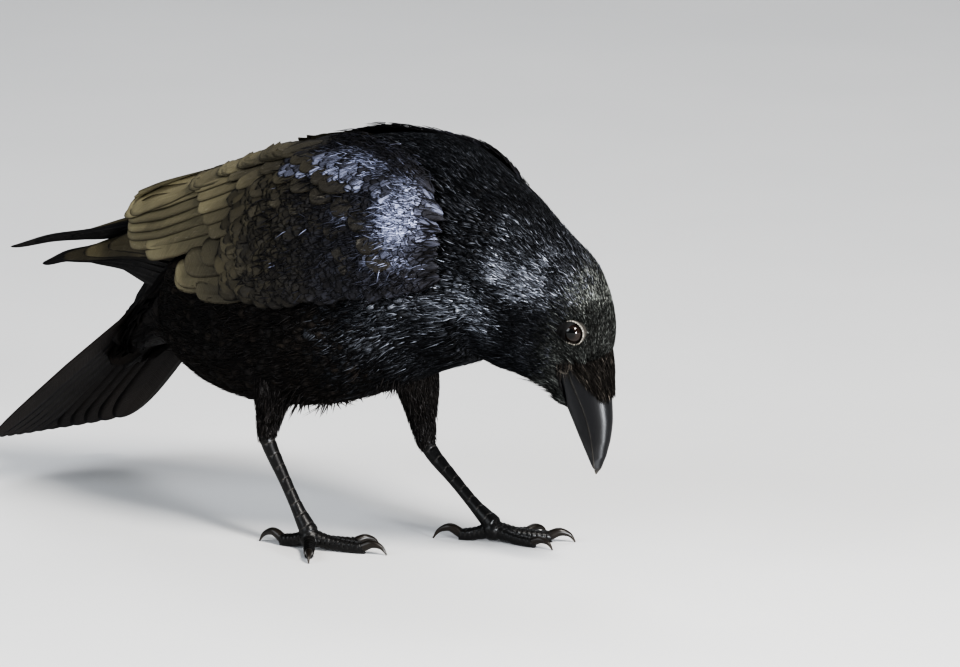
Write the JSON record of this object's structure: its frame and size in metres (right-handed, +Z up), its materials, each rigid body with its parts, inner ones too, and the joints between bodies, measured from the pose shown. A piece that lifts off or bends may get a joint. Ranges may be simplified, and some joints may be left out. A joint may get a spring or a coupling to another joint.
{
  "type": "carrion crow",
  "caption": "Life-size glossy black crow standing with its head bent to the ground, bill closed, wings folded and tail lowered and slightly fanned.",
  "frame": {"origin": "on the floor below the middle of the bird's bounding box", "axes": "+X the way the body faces, +Y the bird's left side, +Z up"},
  "size_m": [0.3792, 0.129, 0.2114],
  "materials": {
    "plumage": "glossy black contour feathers with a faint blue-violet sheen",
    "flight_feathers": "black wing and tail feathers, brown-black in sunlight",
    "horn": "polished black horn",
    "scales": "black scaled skin with pale joints between the scales",
    "eye": "wet dark brown eye"
  },
  "bodies": {
    "root": {"trunk": "plumage", "neck": "plumage", "head": "plumage", "eye_right": "eye", "eye_left": "eye", "bill_upper": "horn", "bill_lower": "horn", "nasal_bristles": "plumage", "wing_right": "flight_feathers", "primaries_right": "flight_feathers", "wing_left": "flight_feathers", "primaries_left": "flight_feathers", "tail": "flight_feathers", "uppertail_coverts": "plumage", "undertail_coverts": "plumage", "thigh_right": "plumage", "tarsus_right": "scales", "toe_right_hallux": "scales", "claw_right_hallux": "horn", "toe_right_inner": "scales", "claw_right_inner": "horn", "toe_right_middle": "scales", "claw_right_middle": "horn", "toe_right_outer": "scales", "claw_right_outer": "horn", "thigh_left": "plumage", "tarsus_left": "scales", "toe_left_hallux": "scales", "claw_left_hallux": "horn", "toe_left_inner": "scales", "claw_left_inner": "horn", "toe_left_middle": "scales", "claw_left_middle": "horn", "toe_left_outer": "scales", "claw_left_outer": "horn"}
  },
  "joints": []
}
